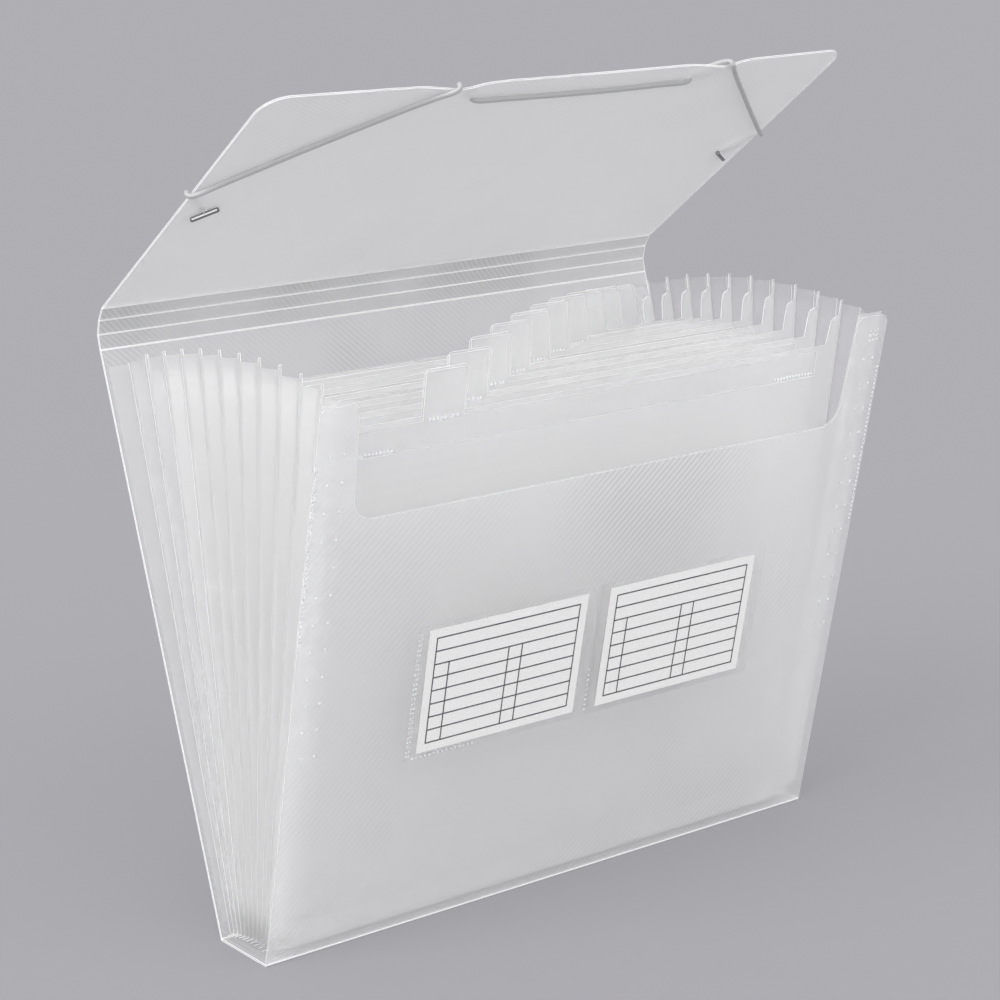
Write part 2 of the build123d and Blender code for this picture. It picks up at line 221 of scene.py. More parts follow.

# %% [markdown]
# ## Finishes
# The cover is frosted polypropylene: milky, half see-through, with fine slanting lines pressed into
# it. A plain shader with a fixed alpha gives the milk, light that scatters under the surface gives
# the glow, and a wave bent by noise gives the lines as bump, which fade in and out. The same wave
# also lowers the base colour in the lines: painted shade in the grooves. The lines run the same way
# all over the outside, so they slant one way on the front and the other way on the sheets that show
# their inside. Films have next to no lines and differ by alpha: the pleats on the left, but for the
# two rearmost, get a milkier copy of the same film than those on the right, which paints on the
# stronger light on that side. The spine strips get a deeper grey than the rest of the sheet, which
# is painted shade.


# %% Frosted sheet finishes
def finish_base(name, colour, roughness, alpha=1.0):
    """A material with one Principled shader; returns it with its shader and node tree."""
    material = bpy.data.materials.new(name)
    material.use_nodes = True
    tree = material.node_tree
    shader = tree.nodes["Principled BSDF"]
    shader.inputs["Base Color"].default_value = (*colour, 1.0)
    shader.inputs["Roughness"].default_value = roughness
    shader.inputs["Alpha"].default_value = alpha
    return material, shader, tree


def add_node(tree, kind, **settings):
    """A node with its settings and, by name, its input values."""
    node = tree.nodes.new(kind)
    for key, value in settings.items():
        if hasattr(node, key):
            setattr(node, key, value)
        else:
            node.inputs[key].default_value = value
    return node


WAVE_SCALE = 0.31416  # a wave of this scale repeats once a unit
SCATTER = 1.5  # how far light spreads inside a sheet, in mm
PATCH_SCALE = 14.0  # patches in which the pressed lines show
CRISP_NEAR, CRISP_FAR = 20.0, 75.0  # from a crisp place, in mm
FAINT = 0.35  # strength of the lines away from it


def frosted(name, grey, alpha, roughness, slant, line_pitch, line_depth_and_shade, crisp_at=None):
    """Milky sheet with pressed lines as bump and painted shade, turned by slant about Y, crisper
    near one place.
    """
    material, shader, tree = finish_base(name, (grey, grey, grey), roughness, alpha)
    shader.inputs["Subsurface Weight"].default_value = 1.0
    shader.inputs["Subsurface Radius"].default_value = (1.0, 1.0, 1.0)
    shader.inputs["Subsurface Scale"].default_value = SCATTER * MM
    place = add_node(tree, "ShaderNodeTexCoord")
    turned = add_node(tree, "ShaderNodeMapping")
    turned.inputs["Rotation"].default_value = (0.0, radians(slant), 0.0)
    tree.links.new(place.outputs["Object"], turned.inputs["Vector"])
    lines = add_node(tree, "ShaderNodeTexWave")
    lines.inputs["Scale"].default_value = WAVE_SCALE / (line_pitch * MM)
    lines.inputs["Distortion"].default_value = 0.6
    lines.inputs["Detail"].default_value = 1.0
    tree.links.new(turned.outputs["Vector"], lines.inputs["Vector"])
    patches = add_node(tree, "ShaderNodeTexNoise")
    patches.inputs["Scale"].default_value = PATCH_SCALE
    patches.inputs["Detail"].default_value = 2.0
    tree.links.new(place.outputs["Object"], patches.inputs["Vector"])
    fade = add_node(tree, "ShaderNodeMapRange")
    fade.inputs["From Min"].default_value = 0.45
    fade.inputs["From Max"].default_value = 0.68
    tree.links.new(patches.outputs["Fac"], fade.inputs["Value"])
    strength = fade.outputs["Result"]
    if crisp_at is not None:
        fade.inputs["To Max"].default_value = FAINT
        apart = add_node(tree, "ShaderNodeVectorMath", operation="DISTANCE")
        apart.inputs[1].default_value = crisp_at
        tree.links.new(place.outputs["Object"], apart.inputs[0])
        near = add_node(tree, "ShaderNodeMapRange", interpolation_type="SMOOTHSTEP")
        near.inputs["From Min"].default_value = CRISP_FAR * MM
        near.inputs["From Max"].default_value = CRISP_NEAR * MM
        tree.links.new(apart.outputs["Value"], near.inputs["Value"])
        stronger = add_node(tree, "ShaderNodeMath", operation="MAXIMUM")
        tree.links.new(strength, stronger.inputs[0])
        tree.links.new(near.outputs["Result"], stronger.inputs[1])
        strength = stronger.outputs["Value"]
    pressed = add_node(tree, "ShaderNodeMath", operation="MULTIPLY")
    tree.links.new(lines.outputs["Fac"], pressed.inputs[0])
    tree.links.new(strength, pressed.inputs[1])
    # The base colour in the lines is lowered by the same fraction as the bump depth: painted shade
    # in the grooves.
    groove_shade = grey * (1.0 - line_depth_and_shade)
    tone = add_node(tree, "ShaderNodeMix", data_type="RGBA")
    tone.inputs[6].default_value = (grey, grey, grey, 1.0)
    tone.inputs[7].default_value = (groove_shade, groove_shade, groove_shade, 1.0)
    tree.links.new(pressed.outputs["Value"], tone.inputs[0])
    tree.links.new(tone.outputs[2], shader.inputs["Base Color"])
    bump = add_node(tree, "ShaderNodeBump")
    bump.inputs["Strength"].default_value = 1.0
    bump.inputs["Distance"].default_value = line_depth_and_shade * MM
    tree.links.new(pressed.outputs["Value"], bump.inputs["Height"])
    tree.links.new(bump.outputs["Normal"], shader.inputs["Normal"])
    clouds = add_node(tree, "ShaderNodeMapRange")
    clouds.inputs["To Min"].default_value = roughness - 0.06
    clouds.inputs["To Max"].default_value = roughness + 0.08
    tree.links.new(patches.outputs["Fac"], clouds.inputs["Value"])
    tree.links.new(clouds.outputs["Result"], shader.inputs["Roughness"])
    return material


crisp_spot = on_sheet(FRONT_FOLD, FRONT_LEAN, 30.0, 205.0)
# name, grey, alpha, roughness, slant, line pitch, line depth and painted shade
front_finish = frosted("front_frosted", 0.93, 0.27, 0.42, -45.0, 2.8, 0.24, crisp_spot)
back_finish = frosted("back_frosted", 0.93, 0.27, 0.42, 45.0, 2.4, 0.15)
lid_finish = frosted("lid_frosted", 0.95, 0.58, 0.42, 68.0, 1.3, 0.06)
# The spine strips are the same sheet as the back, given a deeper grey: painted shade.
spine_shade_finish = frosted("spine_painted_shade", 0.72, 0.55, 0.42, 45.0, 2.2, 0.17)
divider_finish = frosted("divider_film", 0.98, 0.30, 0.36, 90.0, 6.0, 0.02)
# A milkier copy of the pleat film for the left side: painted light, standing in for the stronger
# light on that side.
lit_side_pleat_finish = frosted("lit_side_pleat_film", 0.99, 0.40, 0.34, 0.0, 5.0, 0.02)
clear_pleat_finish = frosted("clear_pleat_film", 0.99, 0.18, 0.34, 0.0, 5.0, 0.02)
sleeve_finish = frosted("clear_sleeve", 0.96, 0.05, 0.22, 90.0, 9.0, 0.01)
tab_finish = frosted("tab_sleeve_film", 0.95, 0.10, 0.26, 90.0, 7.0, 0.01)
print("sheet finishes ready")


# %% Bright edge, weld and trim finishes, some with a painted glow
def grained(name, colour, roughness, grain, depth, metallic=0.0, glow=0.0):
    """A solid finish with fine noise in its bump and roughness, and an emission that paints a glow
    on lit edges.
    """
    material, shader, tree = finish_base(name, colour, roughness)
    shader.inputs["Metallic"].default_value = metallic
    shader.inputs["Emission Color"].default_value = (1.0, 1.0, 1.0, 1.0)
    shader.inputs["Emission Strength"].default_value = glow
    place = add_node(tree, "ShaderNodeTexCoord")
    noise = add_node(tree, "ShaderNodeTexNoise")
    noise.inputs["Scale"].default_value = 1.0 / (grain * MM)
    noise.inputs["Detail"].default_value = 3.0
    tree.links.new(place.outputs["Object"], noise.inputs["Vector"])
    bump = add_node(tree, "ShaderNodeBump")
    bump.inputs["Distance"].default_value = depth * MM
    tree.links.new(noise.outputs["Fac"], bump.inputs["Height"])
    tree.links.new(bump.outputs["Normal"], shader.inputs["Normal"])
    rough = add_node(tree, "ShaderNodeMapRange")
    rough.inputs["To Min"].default_value = roughness - 0.08
    rough.inputs["To Max"].default_value = roughness + 0.08
    tree.links.new(noise.outputs["Fac"], rough.inputs["Value"])
    tree.links.new(rough.outputs["Result"], shader.inputs["Roughness"])
    return material


# Edge and crease finishes: near-white with a little emission, a painted glow and highlight on cut
# edges, folds, rims and tabs.
edge_glow_finish = grained("edge_glow", (0.93, 0.93, 0.93), 0.30, 0.8, 0.01, glow=0.10)
faint_glow_finish = grained("faint_edge_glow", (0.90, 0.90, 0.90), 0.30, 0.8, 0.01, glow=0.02)
# Weld dots: real marks, with a faint emission that is a painted glow.
weld_glow_finish = grained("weld_dot", (0.95, 0.95, 0.95), 0.25, 0.6, 0.01, glow=0.12)
bar_finish = grained("crimped_metal", (0.30, 0.30, 0.31), 0.24, 0.5, 0.01, metallic=1.0)
print("trim finishes ready")

# %% [markdown]
# ## Helpers for pieces
# A Geometry Nodes tree is kept as a recipe with named sizes. Each piece starts as a few points or
# edges, the recipe grows it, and the result is settled into a plain mesh, so that nothing is left
# live when the piece joins its body.


# %% Pieces, recipes and settling
def add_piece(name, mesh, *finishes):
    """An object at the origin that holds a mesh and its finishes."""
    piece = bpy.data.objects.new(name, mesh)
    scene.collection.objects.link(piece)
    for finish in finishes:
        mesh.materials.append(finish)
    return piece


def settle(piece):
    """Turns a piece and its modifiers into one plain mesh."""
    bpy.context.view_layer.update()
    graph = bpy.context.evaluated_depsgraph_get()
    mesh = bpy.data.meshes.new_from_object(piece.evaluated_get(graph))
    piece.modifiers.clear()
    mesh.name = piece.name
    piece.data = mesh
    return piece


def new_recipe(name, *sizes):
    """A node tree with geometry in and out and named sizes; returns it with its two end nodes."""
    tree = bpy.data.node_groups.new(name, "GeometryNodeTree")
    tree.interface.new_socket("Geometry", in_out="INPUT", socket_type="NodeSocketGeometry")
    tree.interface.new_socket("Geometry", in_out="OUTPUT", socket_type="NodeSocketGeometry")
    for title, kind, value in sizes:
        socket = tree.interface.new_socket(title, in_out="INPUT", socket_type=kind)
        if value is not None:
            socket.default_value = value
    return tree, tree.nodes.new("NodeGroupInput"), tree.nodes.new("NodeGroupOutput")


def close_recipe(tree, made, sizes_in, result):
    """Ends a recipe: realize, shade smooth, set the material."""
    whole = tree.nodes.new("GeometryNodeRealizeInstances")
    soft = tree.nodes.new("GeometryNodeSetShadeSmooth")
    dressed = tree.nodes.new("GeometryNodeSetMaterial")
    tree.links.new(made, whole.inputs["Geometry"])
    tree.links.new(whole.outputs["Geometry"], soft.inputs["Geometry"])
    tree.links.new(soft.outputs["Geometry"], dressed.inputs["Geometry"])
    tree.links.new(sizes_in.outputs["Finish"], dressed.inputs["Material"])
    tree.links.new(dressed.outputs["Geometry"], result.inputs["Geometry"])


def grow(piece, recipe, sizes):
    """Applies a recipe with its sizes and settles the piece."""
    modifier = piece.modifiers.new(recipe.name, "NODES")
    modifier.node_group = recipe
    for socket in recipe.interface.items_tree:
        if socket.in_out == "INPUT" and socket.name in sizes:
            modifier[socket.identifier] = sizes[socket.name]
    return settle(piece)


def merged_copy(*names):
    """One mesh from CAD nodes, with the loose triangles' corners joined."""
    made = bmesh.new()
    for name in names:
        made.from_mesh(nodes[name].data)
    bmesh.ops.remove_doubles(made, verts=made.verts, dist=0.002 * MM)
    mesh = bpy.data.meshes.new(names[0] + "_copy")
    made.to_mesh(mesh)
    made.free()
    return mesh


def line_mesh(name, runs):
    """A mesh of loose edges through each run of points."""
    points, edges = [], []
    for run in runs:
        first = len(points)
        points += [tuple(p) for p in run]
        edges += [(first + i, first + i + 1) for i in range(len(run) - 1)]
    mesh = bpy.data.meshes.new(name)
    mesh.from_pydata(points, edges, [])
    return mesh


# %% [markdown]
# ## Elastic cord
# A white round elastic runs over the flap: from a metal bar through a hole at each side, round the
# flap's side edge, across the inside to the front edge, over it, and through another hole to the
# middle run. It is drawn as one smooth spline through the route's corner points, and a recipe
# sweeps a round section along it. The wraps stand a little further out than on the plain model,
# because the spline cuts inside its corner points.


# %% Flap sag
FLAP_SAG, SAG_FOOT, SAG_LENGTH = 8.4, 0.52, 187.98  # at the middle of the front edge
PINCH, PINCH_X, PINCH_UP = 2.4, 75.0, 186.0
PINCH_WIDE, PINCH_TALL = 12.0, 16.0


def plain_sag(x, up):
    """How far the CAD flap sags towards the inside, in mm."""
    return FLAP_SAG * max(0.0, 1.0 - (x / HALF_WIDTH) ** 2) * max(up - SAG_FOOT, 0.0) / SAG_LENGTH


def pinch_of(x, up):
    """How far the cord pulls the flap's front edge inwards where it wraps round, in mm."""
    across = exp(-(((abs(x) - PINCH_X) / PINCH_WIDE) ** 2))
    return PINCH * across * exp(-(((PINCH_UP - up) / PINCH_TALL) ** 2))


def on_flap(x, up, forward=0.0):
    """Place in metres of a point on the sagging, pinched flap."""
    inwards = forward + plain_sag(x, up) + pinch_of(x, up)
    return on_sheet(FLAP_FOLD, FLAP_LEAN, x, up, inwards)


print("flap sags", FLAP_SAG, "mm at the middle of its front edge")


# %% Cord spline
# Corner points from the right end bar to the middle run: x, height up the flap, distance inside it.
half_route = [
    (151.5, 85.0, 1.0),
    (151.5, 85.0, -2.0),
    (167.4, 101.5, -2.4),
    (167.4, 101.5, 2.4),
    (156.1, 111.5, 1.75),
    (88.0, 177.4, 1.75),
    (77.6, 188.4, 2.3),
    (77.6, 188.4, -2.3),
    (62.3, 174.5, -2.0),
    (62.3, 174.5, 2.0),
    (47.9, 174.5, 1.75),
    (31.15, 174.5, 1.75),
]
other_half = [(-x, up, forward) for x, up, forward in reversed(half_route)]
route = half_route + [(0.0, 174.5, 1.75)] + other_half
cord_curve = bpy.data.curves.new("elastic_route", "CURVE")
cord_curve.dimensions = "3D"
cord_curve.resolution_u = 10
cord_line = cord_curve.splines.new("NURBS")
cord_line.points.add(len(route) - 1)
for point, (x, up, forward) in zip(cord_line.points, route):
    point.co = (*on_flap(x, up, forward), 1.0)
cord_line.order_u = 3
cord_line.use_endpoint_u = True
cord_route = bpy.data.objects.new("elastic_route", cord_curve)
scene.collection.objects.link(cord_route)
bpy.context.view_layer.update()
graph = bpy.context.evaluated_depsgraph_get()
cord_path = bpy.data.meshes.new_from_object(cord_route.evaluated_get(graph))
cord_points = [v.co.copy() for v in cord_path.vertices]
cord_length = sum((b - a).length for a, b in zip(cord_points, cord_points[1:]))
print("cord length", round(cord_length / MM, 1), "mm in", len(cord_points), "points")

# %% Recipe: bead along lines and arrises
bead_recipe, bead_in, bead_out = new_recipe(
    "bead_along_edges",
    ("Radius", "NodeSocketFloat", 0.25 * MM),
    ("Sides", "NodeSocketInt", 6),
    ("Least angle", "NodeSocketFloat", 1.0),
    ("Finish", "NodeSocketMaterial", None),
)
joined = bead_recipe.nodes.new("GeometryNodeMergeByDistance")
joined.inputs["Distance"].default_value = 0.004 * MM
angle = bead_recipe.nodes.new("GeometryNodeInputMeshEdgeAngle")
sharp = add_node(bead_recipe, "FunctionNodeCompare", data_type="FLOAT", operation="GREATER_THAN")
kept = add_node(bead_recipe, "GeometryNodeSeparateGeometry", domain="EDGE")
paths = bead_recipe.nodes.new("GeometryNodeMeshToCurve")
ring = bead_recipe.nodes.new("GeometryNodeCurvePrimitiveCircle")
swept = bead_recipe.nodes.new("GeometryNodeCurveToMesh")
swept.inputs["Fill Caps"].default_value = True
link = bead_recipe.links.new
link(bead_in.outputs["Geometry"], joined.inputs["Geometry"])
link(joined.outputs["Geometry"], kept.inputs["Geometry"])
link(angle.outputs["Unsigned Angle"], sharp.inputs["A"])
link(bead_in.outputs["Least angle"], sharp.inputs["B"])
link(sharp.outputs["Result"], kept.inputs["Selection"])
link(kept.outputs["Selection"], paths.inputs["Mesh"])
link(bead_in.outputs["Sides"], ring.inputs["Resolution"])
link(bead_in.outputs["Radius"], ring.inputs["Radius"])
link(paths.outputs["Curve"], swept.inputs["Curve"])
link(ring.outputs["Curve"], swept.inputs["Profile Curve"])
close_recipe(bead_recipe, swept.outputs["Mesh"], bead_in, bead_out)
print("bead recipe", len(bead_recipe.nodes), "nodes")


# %% Laying beads
EVERY_EDGE, ARRISES = -1.0, 1.0  # least angle between an edge's faces, in radians


def lay_bead(piece, radius, finish, sides=6, least_angle=EVERY_EDGE):
    """Turns a piece's edges into round beads with this radius in mm."""
    sizes = {"Radius": radius * MM, "Sides": sides, "Least angle": least_angle, "Finish": finish}
    return grow(piece, bead_recipe, sizes)


def bead_piece(name, runs, radius, finish, sides=6):
    """A new piece of round beads along runs of points."""
    return lay_bead(add_piece(name, line_mesh(name, runs)), radius, finish, sides)


# %% [markdown]
# The elastic's woven cover shows as fine rings round it. They follow the cord's own length, so the
# swept mesh carries a UV map whose U is the distance along the cord.

# %% Cord finish and piece
CORD_RADIUS, CORD_SIDES, THREAD_PITCH = 1.2, 12, 0.9
# The elastic is white; its mid-grey base colour is painted shade, the average of its lit top and
# shaded underside.
cord_shade_finish, cord_shader, cord_tree = finish_base("woven_elastic", (0.50, 0.50, 0.50), 0.24)
cord_shader.inputs["Coat Weight"].default_value = 0.7
cord_shader.inputs["Coat Roughness"].default_value = 0.12
cord_place = add_node(cord_tree, "ShaderNodeUVMap", uv_map="UVMap")
weave = add_node(cord_tree, "ShaderNodeTexWave")
weave.inputs["Scale"].default_value = WAVE_SCALE / (THREAD_PITCH * MM)
weave.inputs["Distortion"].default_value = 1.2
weave.inputs["Detail"].default_value = 2.0
cord_tree.links.new(cord_place.outputs["UV"], weave.inputs["Vector"])
weave_bump = add_node(cord_tree, "ShaderNodeBump")
weave_bump.inputs["Distance"].default_value = 0.06 * MM
cord_tree.links.new(weave.outputs["Fac"], weave_bump.inputs["Height"])
cord_tree.links.new(weave_bump.outputs["Normal"], cord_shader.inputs["Normal"])
thread = add_node(cord_tree, "ShaderNodeMapRange")
thread.inputs["To Min"].default_value = 0.16
thread.inputs["To Max"].default_value = 0.32
cord_tree.links.new(weave.outputs["Fac"], thread.inputs["Value"])
cord_tree.links.new(thread.outputs["Result"], cord_shader.inputs["Roughness"])

elastic = bead_piece("elastic", [cord_points], CORD_RADIUS, cord_shade_finish, CORD_SIDES)
elastic_uv = elastic.data.uv_layers.new(name="UVMap")
run_length = [0.0]
for a, b in zip(cord_points, cord_points[1:]):
    run_length.append(run_length[-1] + (b - a).length)
for loop in elastic.data.loops:
    ring_number = min(loop.vertex_index // CORD_SIDES, len(run_length) - 1)
    elastic_uv.data[loop.index].uv = (run_length[ring_number], 0.5)
bpy.data.objects.remove(cord_route)
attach(elastic, "flap")
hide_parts("elastic_cord")
print("elastic", len(elastic.data.polygons), "faces")

# %% [markdown]
# ## Flap
# The raised lid is one sheet that sags between its stiff sides, and the elastic pinches its front
# edge where it wraps round. The CAD flap has the sag and the four holes in few faces. A copy is cut
# into a fine grid and each corner is put on the smooth surface, which keeps outline and thickness.

# %% Sagging flap
GRID = 8  # mm between the cuts


def cut(made, place, across):
    """Cuts every face of a mesh in the making along a plane."""
    everything = made.verts[:] + made.edges[:] + made.faces[:]
    bmesh.ops.bisect_plane(made, geom=everything, plane_co=place, plane_no=across)


flap_made = bmesh.new()
flap_made.from_mesh(merged_copy("flap"))
flap_up = Vector((0.0, sin(radians(FLAP_LEAN)), cos(radians(FLAP_LEAN))))
flap_in = Vector((0.0, -cos(radians(FLAP_LEAN)), sin(radians(FLAP_LEAN))))
flap_foot = on_sheet(FLAP_FOLD, FLAP_LEAN, 0.0, 0.0)
for x in range(-160, 161, GRID):
    cut(flap_made, (x * MM, 0, 0), (1, 0, 0))
for up in range(10, 190, GRID):
    cut(flap_made, flap_foot + flap_up * up * MM, flap_up)
for vert in flap_made.verts:
    up = (vert.co - flap_foot).dot(flap_up) / MM
    forward = (vert.co - flap_foot).dot(flap_in) / MM
    x = vert.co.x / MM
    vert.co = on_flap(x, up, copysign(COVER_HALF, forward - plain_sag(x, up)))
flap_mesh = bpy.data.meshes.new("flap_sheet")
flap_made.to_mesh(flap_mesh)
flap_made.free()
flap_sheet = add_piece("flap_sheet", flap_mesh, lid_finish)
flap_mesh.shade_smooth()
flap_mesh.set_sharp_from_angle(angle=radians(40.0))
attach(flap_sheet, "flap")
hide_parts("flap")
print("flap", len(flap_mesh.polygons), "faces")

# %% [markdown]
# ## End bars
# Each end of the elastic is crimped into a short bar of rolled metal, which keeps it from slipping
# back through its hole. The CAD bar gets softer ends from a bevel, and a bright bead along its side
# is a painted highlight, standing in for the shine on the crimp's ridge.

# %% End bars
SIDES = ((-1, "left"), (1, "right"))
HIGHLIGHT_RADIUS, HIGHLIGHT_IN = 0.36, 1.94
bar_highlight = [(156.7, 82.1), (147.7, 89.5)]
for side, side_name in SIDES:
    bar_mesh = merged_copy("end_bar_" + side_name)
    bar = add_piece("crimp_bar_" + side_name, bar_mesh, bar_finish)
    bar_mesh.shade_smooth()
    rounding = bar.modifiers.new("rounding", "BEVEL")
    rounding.width = 0.15 * MM
    rounding.segments = 2
    rounding.limit_method = "ANGLE"
    settle(bar)
    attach(bar, "flap")
    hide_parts("end_bar_" + side_name)
    # A bright bead along the bar: a painted highlight.
    highlight_run = [on_flap(side * x, up, HIGHLIGHT_IN) for x, up in bar_highlight]
    highlight_bead = bead_piece("bar_highlight_" + side_name, [highlight_run], HIGHLIGHT_RADIUS, edge_glow_finish, sides=8)
    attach(highlight_bead, "flap")
print("bars ready")

# %% [markdown]
# ## Pleats
# The sides of the bellows are thin film folded outwards between each pair of sheets, deep at the
# foot and shallow at the top where the sheets fan apart. When the folder closes, both legs of a
# pleat swing together. Each leg is a small grid from its sheet to the crease. A bright rim, a
# painted highlight, follows the foot of each pleat.

# %% Pleat shapes
PLEAT_ROOT = 152.12  # half the width between the pleats' roots
PLEAT_FOOT, PLEAT_TOP = 0.6, 266.0
CREASE_FOOT, CREASE_TOP = 9.0, 4.5  # how far the crease stands out
PLEAT_ROWS, PLEAT_COLUMNS = 14, 4
FLANGE_FACE, DIVIDER_FACE = 0.3, 0.15  # from a sheet's middle to where a pleat meets it
body_names = ["back"] + [f"divider_{k:02d}" for k in range(1, POCKETS)] + ["front_end"]


def pleat_point(k, side, leg, share, up):
    """Point on a pleat's leg; share runs from 0 at its sheet to 1 at the crease."""
    rear_face = FLANGE_FACE if k == 0 else DIVIDER_FACE
    rear = on_sheet(sheet_folds[k], sheet_leans[k], 0.0, up, rear_face)
    front = on_sheet(sheet_folds[k + 1], sheet_leans[k + 1], 0.0, up, -DIVIDER_FACE)
    crease = (rear + front) / 2
    height = (up - PLEAT_FOOT) / (PLEAT_TOP - PLEAT_FOOT)
    depth = CREASE_FOOT + (CREASE_TOP - CREASE_FOOT) * height
    sheet = rear if leg == "rear" else front
    point = sheet.lerp(crease, share)
    point.x = side * (PLEAT_ROOT + depth * share) * MM
    return point


def pleat_leg(k, side, leg):
    """Grid mesh of one leg."""
    rows, columns = PLEAT_ROWS, PLEAT_COLUMNS
    points, faces = [], []
    for i in range(rows + 1):
        up = PLEAT_FOOT + (PLEAT_TOP - PLEAT_FOOT) * i / rows
        points += [tuple(pleat_point(k, side, leg, j / columns, up)) for j in range(columns + 1)]
    for i in range(rows):
        for j in range(columns):
            a = i * (columns + 1) + j
            faces.append((a, a + 1, a + columns + 2, a + columns + 1))
    mesh = bpy.data.meshes.new("pleat_leg")
    mesh.from_pydata(points, [], faces)
    return mesh


# %% Pleat pieces
FILM_THICK = 0.16
BLEND_REACH = 4.2  # on each side of the crease
CREASE_STEPS = 20
RIM_RADIUS = 0.18


def crease_radius(k, side):
    """Radius of the bright crease bead, a painted highlight: widest on the right, thinner on the
    four rearmost left pleats, thinnest on the rest.
    """
    if side > 0:
        return 0.17
    return 0.13 if k < 4 else 0.05


for k in range(POCKETS):
    rear_body, front_body = body_names[k], body_names[k + 1]
    for side, side_name in SIDES:
        crease_foot = pleat_point(k, side, "rear", 1.0, PLEAT_FOOT)
        crease_top = pleat_point(k, side, "rear", 1.0, PLEAT_TOP)
        along_crease = (crease_top - crease_foot).normalized()
        outwards = Vector((side, 0, 0)) - along_crease * along_crease.x * side
        outwards = outwards.normalized() * BLEND_REACH * MM
        start, end = crease_foot - outwards, crease_foot + outwards
        label = f"{side_name}_{k + 1:02d}"
        # The left pleats, but for the two rearmost, take the milkier copy: painted light on the lit
        # side.
        pleat_finish = lit_side_pleat_finish if side < 0 and k > 1 else clear_pleat_finish
        for leg, near, far in (("rear", rear_body, front_body), ("front", front_body, rear_body)):
            film = add_piece(f"pleat_film_{label}_{leg}", pleat_leg(k, side, leg), pleat_finish)
            wall = film.modifiers.new("wall", "SOLIDIFY")
            wall.thickness = FILM_THICK * MM
            wall.offset = 0.0
            settle(film)
            film.data.shade_smooth()
            if leg == "rear":
                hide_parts("pleat_" + label)
            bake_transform(film)
        run = [crease_foot.lerp(crease_top, i / CREASE_STEPS) for i in range(CREASE_STEPS + 1)]
        # The crease bead is a painted highlight along the fold.
        crease = bead_piece("pleat_crease_" + label, [run], crease_radius(k, side), faint_glow_finish)
        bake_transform(crease)
        roots = [pleat_point(k, side, leg, 0.0, PLEAT_FOOT) for leg in ("rear", "front")]
        rim_run = [roots[0], crease_foot, roots[1]]
        # The bright rim at a pleat's foot is a painted highlight.
        rim = bead_piece("pleat_rim_" + label, [rim_run], RIM_RADIUS, edge_glow_finish)
        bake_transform(rim)
print("pleats", 2 * POCKETS)

# %% [markdown]
# ## Bright edges and fold lines
# Light that enters a frosted sheet leaves it at its cut edges and score lines, so these glow
# against the sheet. This light is painted on: a near-white bead with a little emission lies on each
# edge. The recipe finds a sheet's sharp arrises by their angle and lays a thin bead on each, so
# every outline, hole and notch of a sheet is covered with no points typed in. The dividers and the
# front get a fainter bead, and only the dividers' tabs, ears and floor folds shine.

# %% Edge beads
FAINT_EDGE, COVER_EDGE, FLAP_EDGE = 0.05, 0.16, 0.14
edge_sets = {
    "base": ["base_strip"],
    "back": ["back_panel"],
    "front": ["front_panel"],
}
for i in (1, 2, 3):
    edge_sets[f"spine_{i}"] = [f"spine_strip_{i}"]
for k in range(1, POCKETS):
    edge_sets[f"divider_{k:02d}"] = [f"divider_{k:02d}", f"index_sleeve_{k:02d}"]
edge_faces = 0
for body, sheets in edge_sets.items():
    thin = body.startswith("divider")
    faint = thin or body == "front"
    radius, shine = (FAINT_EDGE, faint_glow_finish) if faint else (COVER_EDGE, edge_glow_finish)
    beads = add_piece("edge_" + body, merged_copy(*sheets))
    lay_bead(beads, radius, shine, least_angle=ARRISES)
    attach(beads, body)
    edge_faces += len(beads.data.polygons)
flap_edge = add_piece("edge_flap", flap_mesh.copy())
lay_bead(flap_edge, FLAP_EDGE, edge_glow_finish, least_angle=ARRISES)
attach(flap_edge, "flap")
print("edge beads", edge_faces + len(flap_edge.data.polygons), "faces")

# %% Tab and ear edges
TAB_FIRST, TAB_WIDTH, TAB_TOP, TAB_ROUND = -98.4, 24.08, 267.0, 2.5
BRIGHT_TABS = 6  # counted from the back; the ones in front of them are fainter
ear_edge = [(144.4, 246.2), (145.6, 255.5), (147.0, 258.3), (149.4, 259.7)]
ear_tip = [(150.8, 261.0), (150.8, 267.8)]
floor_fold = [(138.0, 0.4), (163.5, 0.4)]
for k in range(1, POCKETS):
    tab_left = TAB_FIRST + (POCKETS - 1 - k) * TAB_WIDTH
    tab_right = tab_left + TAB_WIDTH
    outlines = [[(tab_left + TAB_ROUND, TAB_TOP), (tab_right - TAB_ROUND, TAB_TOP)]]
    for side, _ in SIDES:
        outlines += [[(side * x, up) for x, up in edge] for edge in (ear_edge, ear_tip, floor_fold)]
    fold, lean = sheet_folds[k], sheet_leans[k]
    runs = [[on_sheet(fold, lean, x, up) for x, up in line] for line in outlines]
    # The painted bright edge is thicker on the rear tabs than on the front ones.
    radius = 0.20 if k <= BRIGHT_TABS else 0.12
    tab_edge = bead_piece(f"tab_edge_{k:02d}", runs, radius, edge_glow_finish)
    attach(tab_edge, f"divider_{k:02d}")
print("tab and ear edges", POCKETS - 1)

# %% Score lines
# The score lines get a thick bright bead: a painted glow along the folds.
SCORE_RADIUS, SCORE_END = 0.48, 164.8
fold_lines = {
    "back": [spine_folds[0], BACK_FOLD],
    "spine_1": [spine_folds[1]],
    "spine_2": [spine_folds[2]],
    "spine_3": [spine_folds[3]],
    "base": [FRONT_FOLD],
}
for body, folds in fold_lines.items():
    runs = [[Vector((x, *fold)) * MM for x in (-SCORE_END, 0.0, SCORE_END)] for fold in folds]
    score = bead_piece("score_" + body, runs, SCORE_RADIUS, edge_glow_finish, sides=8)
    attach(score, body)
print("score lines", sum(len(folds) for folds in fold_lines.values()))

